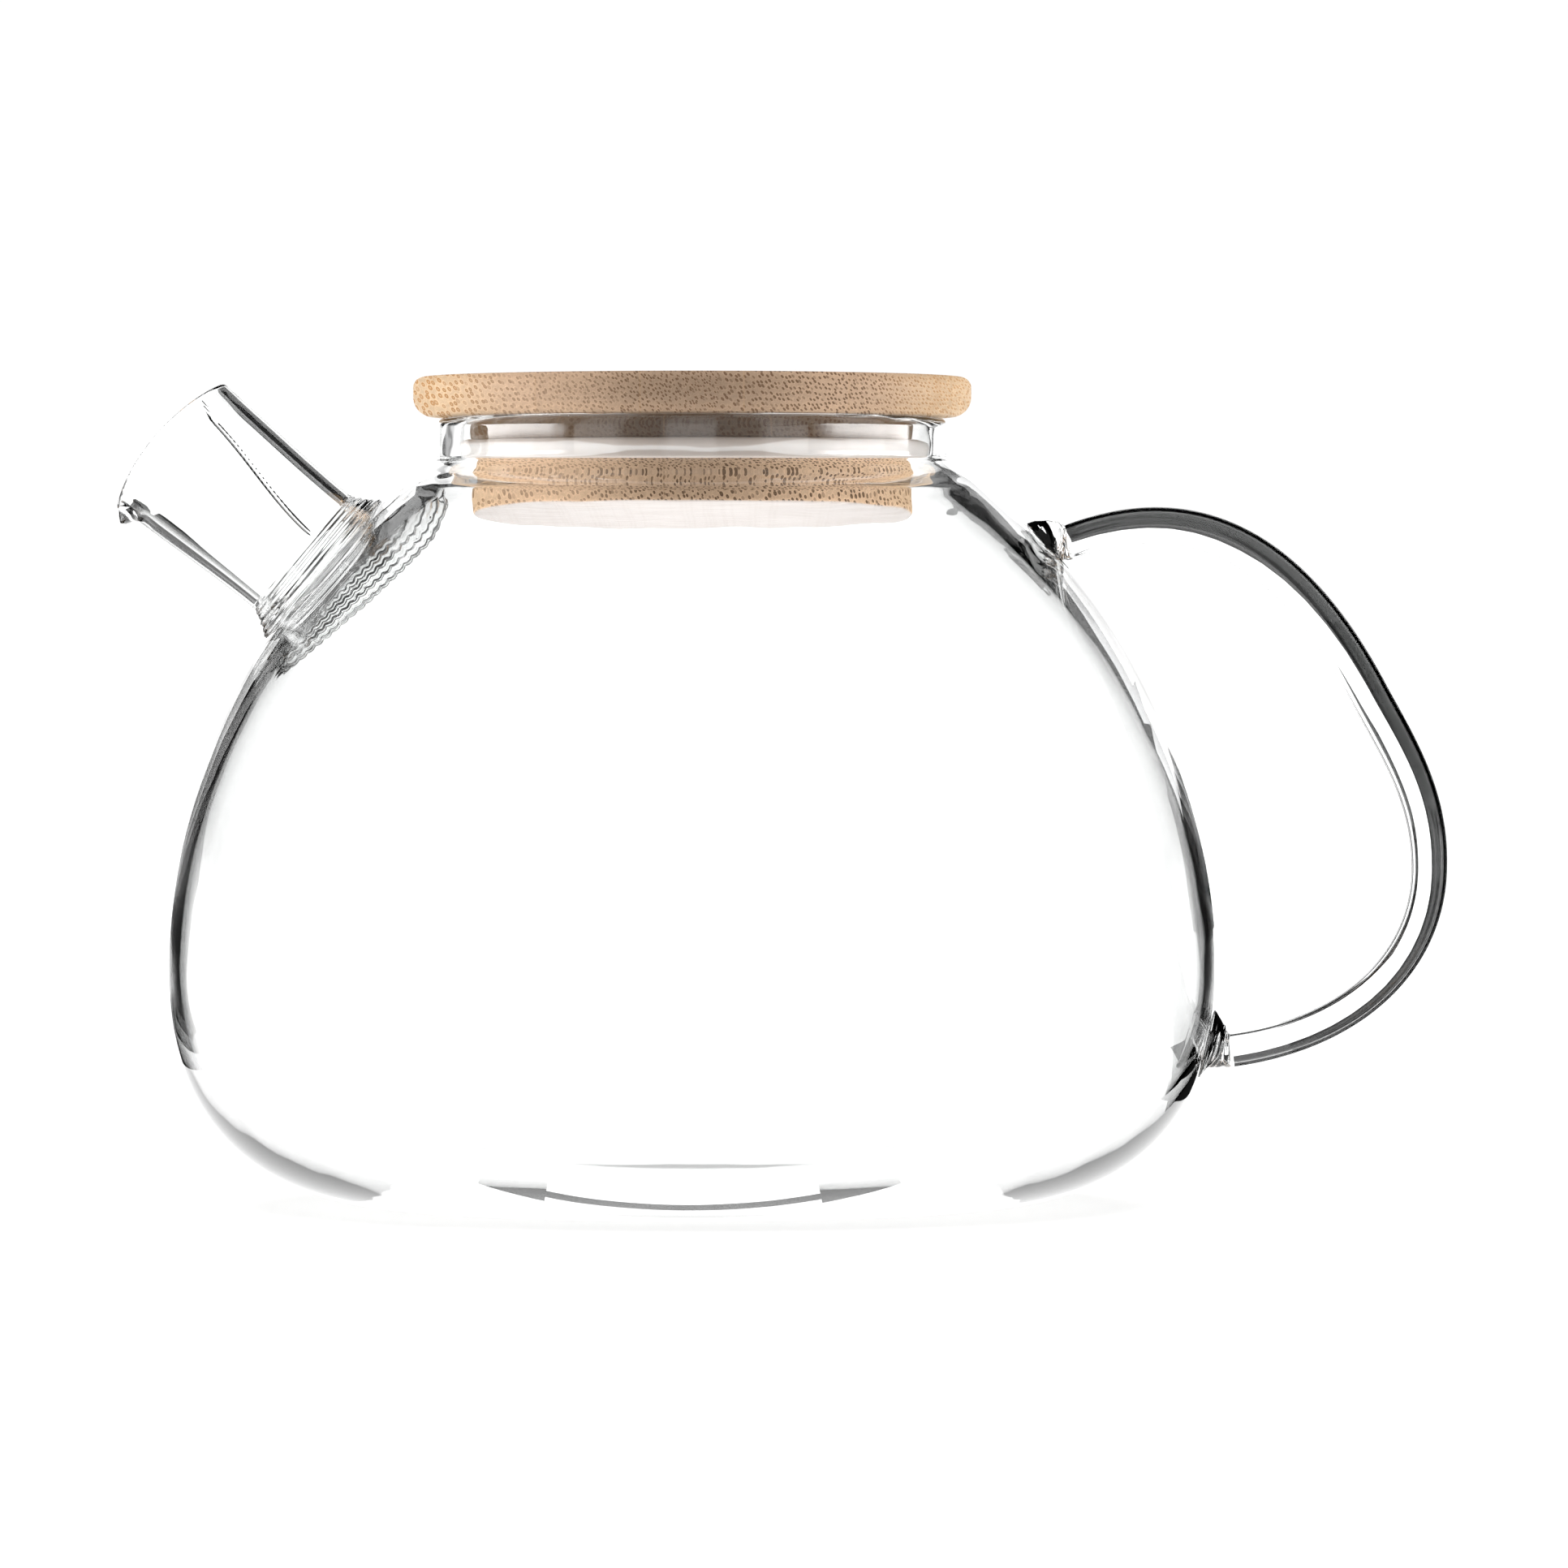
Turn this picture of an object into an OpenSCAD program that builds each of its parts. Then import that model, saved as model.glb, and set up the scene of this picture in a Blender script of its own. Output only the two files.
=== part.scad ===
// Glass teapot with a bamboo plug lid: blown glass vessel, straight side
// spout with a slit strainer behind it, tube handle, and a lid with a
// silicone seal. Millimetres. +Z up. The origin is on the vessel's axis, on
// the plane the teapot stands on. The spout points to -X, the handle to +X.

/* [Vessel] */
// Outer diameter at the belly
belly_d = 169.2; // [166:0.4:172]
// Height of the widest point above the table
belly_z = 38; // [34:1:42]
// Height of the glass rim above the table
rim_z = 127; // [125:0.5:129]
// Outer diameter of the neck
neck_d = 82.6; // [82.2:0.1:83.4]
// Glass thickness of the neck
neck_t = 3.5; // [3.2:0.1:3.6]
// Glass thickness of the side wall
wall_t = 2; // [1.8:0.1:2.6]
// Glass thickness of the bottom
base_t = 3; // [2.6:0.1:3.6]
// Radius of the flat area the vessel stands on
foot_r = 46; // [42:1:50]

/* [Spout] */
// Angle of the spout above horizontal
spout_angle = 39.5; // [37:0.5:42]
// Length of the spout tube, from the vessel wall to the mouth
spout_l = 31.6; // [28:0.2:34]
// Outer radius of the tube where it leaves the vessel
spout_r1 = 12.1; // [11.5:0.1:12.6]
// Outer radius of the tube at the mouth
spout_r2 = 13.1; // [12.6:0.1:13.6]
// Glass thickness of the spout
spout_t = 1.7; // [1.4:0.1:2.0]
// How far the strainer dome bulges into the vessel
strainer_depth = 9.5; // [8.5:0.5:10]
// Width of one strainer slit
slit_w = 1.2; // [0.8:0.1:1.6]
// Number of strainer slits
slit_n = 7; // [3:2:7]

/* [Handle] */
// Outer diameter of the handle tube
handle_d = 5.9; // [5.5:0.1:6.4]
// Bore of the handle tube
handle_bore = 4.6; // [3.6:0.1:4.8]

/* [Lid] */
// Diameter of the bamboo cover
lid_d = 90; // [88:0.5:92]
// Thickness of the bamboo cover
lid_t = 6.4; // [6:0.2:8]
// Diameter of the bamboo plug
plug_d = 71.2; // [70:0.2:72]
// Depth of the plug below the cover
plug_l = 15.1; // [14:0.1:16]
// Outer diameter of the silicone seal
seal_d = 75.1; // [74.6:0.1:75.2]
// Height of the silicone seal
seal_h = 4.2; // [3.6:0.1:4.6]

/* [Hidden] */

R = belly_d / 2;
neck_r = neck_d / 2;
bore_r = neck_r - neck_t;

// spout frame: its point on the vessel's wall, and its direction
spout_x = -R + 24.5;
spout_z = rim_z - 24;

// lid heights
gap = 0.1;                        // between glass rim and cover
cover_z = rim_z + gap;
seal_z = cover_z - 8.1;           // underside of the seal
groove_r = plug_d / 2 - 2.1;      // bottom of the seal's groove
fit = 0.04;                       // seal in its groove, all round

// ---- curves ----------------------------------------------------------
function bez(p, t) = let (u = 1 - t)
    u*u*u*p[0] + 3*u*u*t*p[1] + 3*u*t*t*p[2] + t*t*t*p[3];
function bezd(p, t) = let (u = 1 - t)
    3*u*u*(p[1] - p[0]) + 6*u*t*(p[2] - p[1]) + 3*t*t*(p[3] - p[2]);
function curve(p, n, first = 0) = [for (i = [first:n]) bez(p, i / n)];
function arc(cx, cy, r, a0, a1, n) =
    [for (i = [0:n]) let (a = a0 + (a1 - a0) * i / n)
        [cx + r * cos(a), cy + r * sin(a)]];

// outer face: bottom corner, side wall, and the fillet up into the neck
o1 = [[foot_r, 0], [R - 13, 0], [R, 15], [R, belly_z]];
o2 = [[R, belly_z], [R, belly_z + 21], [R - 9, rim_z - 34],
      [neck_r + 5.7, rim_z - 10.9]];
o3 = [[neck_r + 5.7, rim_z - 10.9], [neck_r + 2.6, rim_z - 8.4],
      [neck_r, rim_z - 8.3], [neck_r, rim_z - 6.3]];
// inner face, one wall thickness inside it
i1 = [[foot_r - 2, base_t], [R - 13 - wall_t, base_t],
      [R - wall_t, 15 + wall_t * 0.6], [R - wall_t, belly_z]];
i2 = [[R - wall_t, belly_z], [R - wall_t, belly_z + 20.6],
      [R - 9 - wall_t * 0.73, rim_z - 34 - wall_t * 0.66],
      [neck_r + 5.7 - wall_t * 0.63, rim_z - 10.9 - wall_t * 0.74]];
i3 = [i2[3], i2[3] + [-3.9, 3.2], [bore_r, rim_z - 9.2],
      [bore_r, rim_z - 5.5]];

rim = arc(neck_r - neck_t / 2, rim_z - neck_t / 2, neck_t / 2, 0, 180, 8);
outer = concat([[0, 0]], curve(o1, 12), curve(o2, 16, 1), curve(o3, 6, 1));
inner = concat(curve(i1, 12), curve(i2, 16, 1), curve(i3, 6, 1));
inner_down = [for (i = [len(inner) - 1:-1:0]) inner[i]];

module vessel_solid()              // the vessel as if it were full of glass
    rotate_extrude($fn = 96)
        polygon(concat(outer, [[neck_r, rim_z - 2], [0, rim_z - 2]]));

module inner_solid()               // the space inside the vessel
    rotate_extrude($fn = 96)
        polygon(concat([[0, base_t]], inner, [[0, rim_z - 4.5]]));

// local frame of the spout: z along the tube, +x up, y across
module at_spout() translate([spout_x, 0, spout_z])
    rotate([0, spout_angle - 90, 0]) children();

// ---- vessel ----------------------------------------------------------
module glass_body() color("lightcyan", 0.4)
    difference() {
        rotate_extrude($fn = 96)
            polygon(concat(outer, rim, inner_down, [[0, base_t]]));
        at_spout() translate([0, 0, -8])
            cylinder(h = 16, r = spout_r1 - spout_t, $fn = 64);
    }

// ---- spout -----------------------------------------------------------
module spout_tube(inside)          // flared a little towards the mouth
    rotate_extrude($fn = 64)
        polygon(concat(
            [[0, -8], [spout_r1 - inside, -8], [spout_r1 - inside, 4]],
            curve([[spout_r1 - inside, 4], [spout_r1 - inside, 14],
                   [spout_r2 - inside - 0.1, 24],
                   [spout_r2 - inside, spout_l]], 6, 1),
            [[spout_r2 - inside, spout_l + 3], [0, spout_l + 3]]));

module spout() color("lightcyan", 0.4)
    difference() {
        union() {
            spout_tube(0);
            // the mouth is turned over and down into a short drip lip
            rotate([0, 0, 150]) rotate_extrude(angle = 60, $fn = 64)
                polygon(concat([[spout_r2 - 0.8, spout_l],
                    [spout_r2 - 1, spout_l - 2.2]],
                    arc(spout_r2 + 0.7, spout_l - 2.2, 1.2, -90, 0, 4),
                    arc(spout_r2 + 0.2, spout_l - 1.3, 1.2, 20, 90, 4)));
        }
        translate([0, 0, 0.01]) spout_tube(spout_t);
        // the rim dips at the top and bottom of the mouth
        translate([0, 0, spout_l - 0.2 + 46]) rotate([0, 90, 0])
            cylinder(h = 50, r = 46, center = true, $fn = 160);
    }

module spout_ring()                // thick glass where the tube is welded on
    rotate_extrude($fn = 64)
        polygon(concat([[spout_r1, 4.6]],
            curve([[spout_r1, 4.6], [spout_r1 + 0.4, 2.2],
                   [spout_r1 + 1.2, 1], [spout_r1 + 2.6, 0]], 5, 1),
            [[spout_r1 + 2.8, -4], [spout_r1, -4]]));

// ---- strainer: an inward dome of glass cut by parallel slits ----------
dome_r = 20;
module strainer() color("azure", 0.6)
    difference() {
        intersection() {
            inner_solid();
            at_spout() difference() {
                translate([0, 0, dome_r - strainer_depth])
                    sphere(r = dome_r, $fn = 64);
                translate([0, 0, dome_r - strainer_depth])
                    sphere(r = dome_r - 1.8, $fn = 64);
                translate([0, 0, 8]) cylinder(h = 40, r = 30, $fn = 48);
            }
        }
        at_spout() for (i = [0:slit_n - 1])
            translate([-10, (i - (slit_n - 1) / 2) * 3.2 - slit_w / 2, -14])
                cube([20, slit_w, 12]);
    }

// ---- handle ----------------------------------------------------------
h1 = [[61, 107], [80, 114.2], [96.3, 107.3], [109.5, 82]];
h2 = [[109.5, 82], [114, 73.7], [119, 66], [119, 55]];
h3 = [[119, 55], [119.2, 39.4], [106.8, 27.6], [87.2, 25]];
// the drawn tube swells in its upper part and is thinner low down
function swell(i) = 0.22 * sin(360 * (i / (3 * hn) - 0.12));
hn = 15;                           // rings on each of the three curves
hs = 20;                           // sides of the tube
hpath = concat(curve(h1, hn), curve(h2, hn, 1), curve(h3, hn, 1));
hdir = concat([for (i = [0:hn]) bezd(h1, i / hn)],
              [for (i = [1:hn]) bezd(h2, i / hn)],
              [for (i = [1:hn]) bezd(h3, i / hn)]);

function ring(p, d, r) = let (u = d / norm(d))
    [for (k = [0:hs - 1]) let (a = 360 * k / hs)
        [p[0] - u[1] * r * cos(a), r * sin(a), p[1] + u[0] * r * cos(a)]];

module handle() color("lightcyan", 0.4) {
    n = len(hpath);
    po = [for (i = [0:n - 1])
        each ring(hpath[i], hdir[i], handle_d / 2 + swell(i))];
    pi = [for (i = [0:n - 1])
        each ring(hpath[i], hdir[i], handle_bore / 2 + swell(i) * 0.7)];
    m = n * hs;
    polyhedron(points = concat(po, pi), convexity = 8, faces = concat(
        [for (i = [0:n - 2], k = [0:hs - 1]) let (q = (k + 1) % hs)
            [i*hs + k, i*hs + q, (i+1)*hs + q, (i+1)*hs + k]],
        [for (i = [0:n - 2], k = [0:hs - 1]) let (q = (k + 1) % hs)
            [m + i*hs + k, m + (i+1)*hs + k, m + (i+1)*hs + q,
             m + i*hs + q]],
        [for (k = [0:hs - 1]) let (q = (k + 1) % hs)
            [k, m + k, m + q, q]],
        [for (k = [0:hs - 1]) let (q = (k + 1) % hs, e = (n - 1) * hs)
            [e + k, e + q, m + e + q, m + e + k]]));
}

// weld at an end of the handle: a flared foot on the vessel's wall, in line
// with the angle tilt, ends in a round head that the tube's square end sits on
module weld_at(p, tube, tilt, r_wall, depth) {
    r0 = handle_d / 2 - 0.1;
    difference() {
        translate([p[0], 0, p[1]]) rotate([0, 90 - tilt, 0])
            rotate_extrude($fn = 48)
                polygon(concat([[0, -9], [0, r0]],
                    [for (i = [1:6]) [r0 * sin(15 * i), r0 * cos(15 * i)]],
                    curve([[r0, 0], [r0 + 0.2, -1.4],
                           [r_wall - 0.9, -1.8], [r_wall, -depth]], 5, 1),
                    [[r_wall + 0.3, -9]]));
        vessel_solid();
        translate([p[0], 0, p[1]])
            rotate([0, 90 - atan2(tube[1], tube[0]), 0])
                cylinder(h = 9, r = 9);
    }
}

module upper_handle_weld() color("azure", 0.6)
    weld_at(h1[0], h1[1] - h1[0], 12, 4.6, 3.6);

module lower_handle_weld() color("azure", 0.6)
    weld_at(h3[3], h3[2] - h3[3], -14, 5.1, 3.6);

// ---- lid -------------------------------------------------------------
module lid_cover() color("burlywood")
    translate([0, 0, cover_z]) rotate_extrude($fn = 96)
        polygon(concat([[0, 0]],
            arc(lid_d / 2 - 3.2, 3.2, 3.2, -90, 0, 6),
            arc(lid_d / 2 - 1.7, lid_t - 1.7, 1.7, 0, 90, 5),
            [[0, lid_t]]));

module lid_plug() color("tan")
    rotate_extrude($fn = 96)
        polygon(concat([[0, cover_z - plug_l]],
            arc(plug_d / 2 - 0.8, cover_z - plug_l + 0.8, 0.8, -90, 0, 4),
            [[plug_d / 2, seal_z - fit], [groove_r, seal_z - fit],
             [groove_r, seal_z + seal_h + fit],
             [plug_d / 2, seal_z + seal_h + fit],
             [plug_d / 2, cover_z], [0, cover_z]]));

module lid_seal() color("gainsboro", 0.8)
    translate([0, 0, seal_z]) rotate_extrude($fn = 96)
        polygon(concat([[groove_r + fit, 0]],
            arc(seal_d / 2 - 1.2, 1.2, 1.2, -90, 0, 4),
            arc(seal_d / 2 - 1.2, seal_h - 1.2, 1.2, 0, 90, 4),
            [[groove_r + fit, seal_h]]));

glass_body();
difference() { at_spout() spout(); vessel_solid(); }
color("azure", 0.6)  // spout_weld
    difference() { at_spout() spout_ring(); vessel_solid();
        at_spout() translate([0, 0, -9])
            cylinder(h = 13.001, r = spout_r1, $fn = 64); }
strainer();
handle();
upper_handle_weld();
lower_handle_weld();
lid_cover();
lid_plug();
lid_seal();
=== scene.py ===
import math

import bpy
import numpy as np
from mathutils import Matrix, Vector, noise


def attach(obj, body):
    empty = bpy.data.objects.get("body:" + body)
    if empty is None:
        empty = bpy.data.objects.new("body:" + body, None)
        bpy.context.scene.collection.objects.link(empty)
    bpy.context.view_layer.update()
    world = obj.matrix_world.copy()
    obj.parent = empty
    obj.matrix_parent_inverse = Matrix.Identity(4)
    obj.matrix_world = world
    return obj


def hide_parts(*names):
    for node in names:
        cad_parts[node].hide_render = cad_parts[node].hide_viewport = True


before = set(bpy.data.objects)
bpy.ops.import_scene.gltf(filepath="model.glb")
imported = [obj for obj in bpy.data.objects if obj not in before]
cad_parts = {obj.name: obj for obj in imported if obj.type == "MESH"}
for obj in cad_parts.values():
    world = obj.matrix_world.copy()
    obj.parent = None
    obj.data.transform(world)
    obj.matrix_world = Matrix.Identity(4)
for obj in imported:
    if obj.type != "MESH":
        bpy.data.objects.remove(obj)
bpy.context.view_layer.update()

MM = 0.001

# ---------------------------------------------------------------- sizes (mm)
R = 84.59
BELLY_Z = 38.0
RIM_Z = 127.0
NECK_R = 41.3
NECK_T = 3.5
BORE_R = NECK_R - NECK_T
WALL = 1.9
BASE = 3.0
FOOT_R = 46.0
SPOUT_AT = np.array([-R + 24.5, 0.0, RIM_Z - 24.0])
SPOUT_A = math.radians(39.5)
S_AX = np.array([-math.cos(SPOUT_A), 0.0, math.sin(SPOUT_A)])   # along the tube
S_UP = np.array([math.sin(SPOUT_A), 0.0, math.cos(SPOUT_A)])    # across, up
S_Y = np.array([0.0, 1.0, 0.0])
COVER_Z = RIM_Z + 0.1
LID_R = 45.0
LID_T = 6.4
PLUG_R = 35.6
PLUG_L = 15.1
SEAL_Z = COVER_Z - 8.1
SEAL_H = 4.2
SEAL_R = 37.55
GROOVE_R = PLUG_R - 2.1

ROUND = 288          # steps round the vessel


# ---------------------------------------------------------------- helpers
def bez(p, t):
    p = [np.array(q, float) for q in p]
    u = 1 - t
    return u**3 * p[0] + 3 * u * u * t * p[1] + 3 * u * t * t * p[2] + t**3 * p[3]


def bezd(p, t):
    p = [np.array(q, float) for q in p]
    u = 1 - t
    return 3 * u * u * (p[1] - p[0]) + 6 * u * t * (p[2] - p[1]) + 3 * t * t * (p[3] - p[2])


def curve(p, n, first=0):
    return [bez(p, i / n) for i in range(first, n + 1)]


def arc(cx, cz, r, a0, a1, n, first=0):
    return [np.array([cx + r * math.cos(math.radians(a0 + (a1 - a0) * i / n)),
                      cz + r * math.sin(math.radians(a0 + (a1 - a0) * i / n))])
            for i in range(first, n + 1)]


def line(a, b, n, first=0):
    a, b = np.array(a, float), np.array(b, float)
    return [a + (b - a) * i / n for i in range(first, n + 1)]


def smooth(a, b, x):
    t = max(0.0, min(1.0, (x - a) / (b - a)))
    return t * t * (3 - 2 * t)


def fbm(x, y, z, octaves=2):
    v, amp, tot = 0.0, 1.0, 0.0
    for _ in range(octaves):
        v += amp * noise.noise(Vector((x, y, z)))
        tot += amp
        amp *= 0.5
        x, y, z = x * 2.03 + 7.1, y * 2.03 - 3.7, z * 2.03 + 1.9
    return v / tot


def make(name, verts, faces):
    """A mesh object from points in mm, smooth shaded."""
    me = bpy.data.meshes.new(name)
    me.from_pydata([tuple(float(c) * MM for c in v) for v in verts], [], faces)
    me.validate()
    me.polygons.foreach_set("use_smooth", [True] * len(me.polygons))
    me.update()
    ob = bpy.data.objects.new(name, me)
    bpy.context.scene.collection.objects.link(ob)
    return ob


def lathe(name, profile, n=ROUND, shift=None):
    """A closed solid of revolution. The profile runs from the axis, round the outside, back to the axis."""
    prof = [np.array(p, float) for p in profile]
    assert prof[0][0] == 0 and prof[-1][0] == 0
    rings = prof[1:-1]
    verts, faces = [], []
    for j, (r, z) in enumerate(rings):
        for k in range(n):
            a = 2 * math.pi * k / n
            rr, zz = (r, z) if shift is None else shift(j, r, z, a)
            verts.append((rr * math.cos(a), rr * math.sin(a), zz))
    first, last = len(verts), len(verts) + 1
    verts += [(0, 0, prof[0][1]), (0, 0, prof[-1][1])]
    for j in range(len(rings) - 1):
        for k in range(n):
            q = (k + 1) % n
            faces.append((j * n + k, j * n + q, (j + 1) * n + q, (j + 1) * n + k))
    m = (len(rings) - 1) * n
    for k in range(n):
        q = (k + 1) % n
        faces.append((first, q, k))
        faces.append((last, m + k, m + q))
    return make(name, verts, faces)


def loops_to_mesh(name, loops, close=True):
    """Rings of equal length joined into a tube. close joins the last ring to the first, as a torus; otherwise both ends are capped with a fan."""
    n = len(loops[0])
    verts = [v for ring in loops for v in ring]
    faces = []
    for j in range(len(loops) if close else len(loops) - 1):
        a, b = j * n, ((j + 1) % len(loops)) * n
        for k in range(n):
            q = (k + 1) % n
            faces.append((a + k, a + q, b + q, b + k))
    if not close:
        c0, c1 = len(verts), len(verts) + 1
        verts = verts + [np.mean(loops[0], axis=0), np.mean(loops[-1], axis=0)]
        m = (len(loops) - 1) * n
        for k in range(n):
            q = (k + 1) % n
            faces.append((c0, q, k))
            faces.append((c1, m + k, m + q))
    return make(name, verts, faces)


def volume(ob):
    me = ob.data
    me.calc_loop_triangles()
    co = np.array([v.co for v in me.vertices], float)
    t = np.array([lt.vertices[:] for lt in me.loop_triangles])
    a, b, c = co[t[:, 0]], co[t[:, 1]], co[t[:, 2]]
    return float(np.einsum("ij,ij->i", a, np.cross(b, c)).sum() / 6)


def outward(ob):
    if volume(ob) < 0:
        ob.data.flip_normals()
    return ob


def boolean(ob, tool, operation):
    m = ob.modifiers.new("cut", "BOOLEAN")
    m.operation = operation
    m.object = tool
    m.solver = "MANIFOLD"
    dg = bpy.context.evaluated_depsgraph_get()
    me = bpy.data.meshes.new_from_object(ob.evaluated_get(dg))
    ob.modifiers.clear()
    old = ob.data
    ob.data = me
    bpy.data.meshes.remove(old)
    bpy.data.objects.remove(tool)
    me.polygons.foreach_set("use_smooth", [True] * len(me.polygons))
    me.update()
    return ob


# ---------------------------------------------------------------- vessel
o1 = [(FOOT_R, 0), (R - 13, 0), (R, 15), (R, BELLY_Z)]
o2 = [(R, BELLY_Z), (R, BELLY_Z + 21), (R - 9, RIM_Z - 34), (NECK_R + 5.7, RIM_Z - 10.9)]
o3 = [(NECK_R + 5.7, RIM_Z - 10.9), (NECK_R + 2.6, RIM_Z - 8.4), (NECK_R, RIM_Z - 8.3), (NECK_R, RIM_Z - 6.3)]
TH = 4.2             # the wall thickens into the neck
i1 = [(FOOT_R - 2, BASE), (R - 13 - WALL, BASE), (R - WALL, 15 + WALL * 0.6), (R - WALL, BELLY_Z)]
i2 = [(R - WALL, BELLY_Z), (R - WALL, BELLY_Z + 20.6), (R - 9 - 2.3, RIM_Z - 34 - 2.6),
      (NECK_R + 5.7 - TH * 0.63, RIM_Z - 10.9 - TH * 0.74)]


def flare_in():
    """Inside of the neck's root, from the shoulder up to the straight bore; the tilt from vertical is set height by height."""
    zs = [i2[3][1], 113.3, 113.8, 115.0, 115.8, 116.8, 117.8, 118.8, 120.2]
    tilt = [51.0, 56.0, 60.5, 61.0, 55.0, 46.0, 30.0, 10.0, 0.0]
    z = np.linspace(zs[0], zs[-1], 60)
    slope = np.tan(np.radians(np.interp(z, zs, tilt)))
    r = np.concatenate([[0], np.cumsum((slope[1:] + slope[:-1]) / 2 * np.diff(z))])
    r = i2[3][0] - r * (i2[3][0] - BORE_R) / r[-1]
    return [np.array([a_, b_]) for a_, b_ in zip(r, z)]


outer = curve(o1, 44) + curve(o2, 64, 1) + curve(o3, 20, 1)
inner = curve(i1, 44) + curve(i2, 64, 1) + flare_in()[1:]
profile = ([np.array([0.0, 0.55])]
           + [np.array([r, 0.55 * (1 - smooth(30, 44, r))]) for r in np.linspace(3, FOOT_R - 1.5, 18)]
           + outer
           + line((NECK_R, RIM_Z - 6.3), (NECK_R, RIM_Z - NECK_T / 2), 8, 1)
           + arc(NECK_R - NECK_T / 2, RIM_Z - NECK_T / 2, NECK_T / 2, 0, 180, 24, 1)
           + line((BORE_R, RIM_Z - NECK_T / 2), (BORE_R, RIM_Z - 6.8), 10, 1)
           + inner[::-1][1:]
           + [np.array([r, BASE + 0.5 * (1 - smooth(12, 42, r))]) for r in np.linspace(FOOT_R - 4, 3, 16)]
           + [np.array([0.0, BASE + 0.5])])
N_OUT = 19 + len(outer)


def wavy(j, r, z, a):
    """Blown glass: the inside is never quite true, most of all round the neck."""
    x, y = math.cos(a), math.sin(a)
    if j > N_OUT + 24:
        top = smooth(100, 116, z)
        amp = 0.02 + 0.08 * top
        d = amp * fbm(x * 3 + 5, y * 3, z * 0.05, 2)
        d += top * 0.065 * fbm(x * 7, y * 7 + 3, z * 0.30, 1)
        return r + d, z
    return r, z


vessel = outward(lathe("pot_glass", profile, shift=wavy))

# ---------------------------------------------------------------- spout
S_L = 31.55
HOLE_R = 11.3


def spout_point(r, phi, s):
    """phi 0 is up, 90 towards +Y, 180 the drip side."""
    return SPOUT_AT + S_AX * s + S_UP * (r * math.cos(phi)) + S_Y * (r * math.sin(phi))


prof_z = np.array([p[1] for p in outer])
prof_r = np.array([p[0] for p in outer])
inn_z = np.array([p[1] for p in inner])
inn_r = np.array([p[0] for p in inner])


def wall_s(r, phi, zs, rs):
    """Where a line along the spout at (r, phi) meets the vessel's face with that profile."""
    lo, hi = -26.0, 8.0
    for _ in range(40):
        mid = (lo + hi) / 2
        p = spout_point(r, phi, mid)
        inside = math.hypot(p[0], p[1]) < np.interp(p[2], zs, rs)
        lo, hi = (mid, hi) if inside else (lo, mid)
    return (lo + hi) / 2


def tube_r(s):
    return 12.1 + 1.0 * smooth(4, 34, s)


# closer steps where the crease runs
phis = [math.radians(a) for a in np.concatenate([np.linspace(0, 284, 228)[:-1], np.linspace(284, 323, 105)[:-1], np.linspace(323, 360, 30)[:-1]])]
NP = len(phis)
s_out = [wall_s(12.6, f, prof_z, prof_r) for f in phis]
s_in = [wall_s(10.8, f, inn_z, inn_r) for f in phis]


def lip_w(f):
    d = abs(math.degrees(f) - 180)
    return max(0.0, 1 - (d / 26) ** 2) ** 1.5 if d < 26 else 0.0


def mouth_s(f):
    y = 13.1 * math.sin(f)
    return S_L + y * y / 92 - 0.2 - 0.35 * math.cos(f)


T = 1.7
cols = []
for k, f in enumerate(phis):
    lip = lip_w(f)
    sm = mouth_s(f)
    col = []
    # outside, from within the wall, up the weld's collar, to the mouth
    for s in list(s_out[k] + np.linspace(-1.6, 5.0, 44)) + list(np.linspace(s_out[k] + 5.0, sm - 0.85, 34)[1:]):
        d = s - s_out[k]
        flare = 2.5 * (1 - min(1.0, max(0.0, d / 4.3))) ** 1.35
        zone = smooth(-0.6, 0.2, d) * (1 - smooth(3.4, 4.8, d))
        ripple = (0.085 * math.sin(2 * math.pi * d / 0.84 + 0.9 * math.sin(2 * f))
                  + 0.065 * math.sin(2 * math.pi * d / 1.33 + 1.3 * math.sin(3 * f + 1))) * zone
        r = tube_r(s) + flare + ripple
        r += lip * 2.1 * smooth(27.2, 29.0, s) * (1 - smooth(29.1, 31.6, s))
        col.append((r, s))
    r1 = col[-1][0]
    # the fire-polished rim, rolled over at the drip side
    half = (T - 0.25) / 2
    cx, cs = r1 - half, sm - 0.85
    for i in range(1, 13):
        a = math.radians(180 * i / 12)
        x, y = half * math.cos(a), 0.85 * math.sin(a)
        col.append((cx + x, cs + y))
    # inside, back down through the wall
    r_in_end = cx - half
    for s in list(np.linspace(cs, s_in[k] + 5.0, 34)[1:]) + list(s_in[k] + np.linspace(5.0, -0.5, 38)[1:]):
        d = s - s_in[k]
        r = tube_r(s) - T + (r_in_end - (tube_r(cs) - T)) * smooth(24, cs, s) ** 1.6
        zone = 1 - smooth(3.0, 4.6, d)
        r += (0.075 * math.sin(2 * math.pi * d / 0.93 + 1.1 * math.sin(2 * f + 2))
              + 0.06 * math.sin(2 * math.pi * d / 1.47 + 0.8 * math.sin(5 * f))) * zone
        # a thin crease left by the shaping tool runs down the near side
        ph = math.degrees(f)
        pc = 270 + 18 + 22 * smooth(3, 31, s) + 9 * smooth(27.5, 31.5, s)
        r -= 0.42 * math.exp(-((ph - pc) / 1.85) ** 2) * smooth(3, 5, s)
        col.append((r, s))
    # rounded inner end
    r_i, s_i = col[-1]
    col.append((r_i + 0.35, s_i - 0.45))
    col.append((r_i + 1.0, s_i - 0.55))
    col.append((r_i + 1.8, s_i - 0.2))
    col.append((r_i + 2.3, s_i + 0.8))
    cols.append(col)
loops = [[spout_point(cols[k][j][0], phis[k], cols[k][j][1]) for k in range(NP)] for j in range(len(cols[0]))]
spout = outward(loops_to_mesh("spout", loops, close=True))

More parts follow.
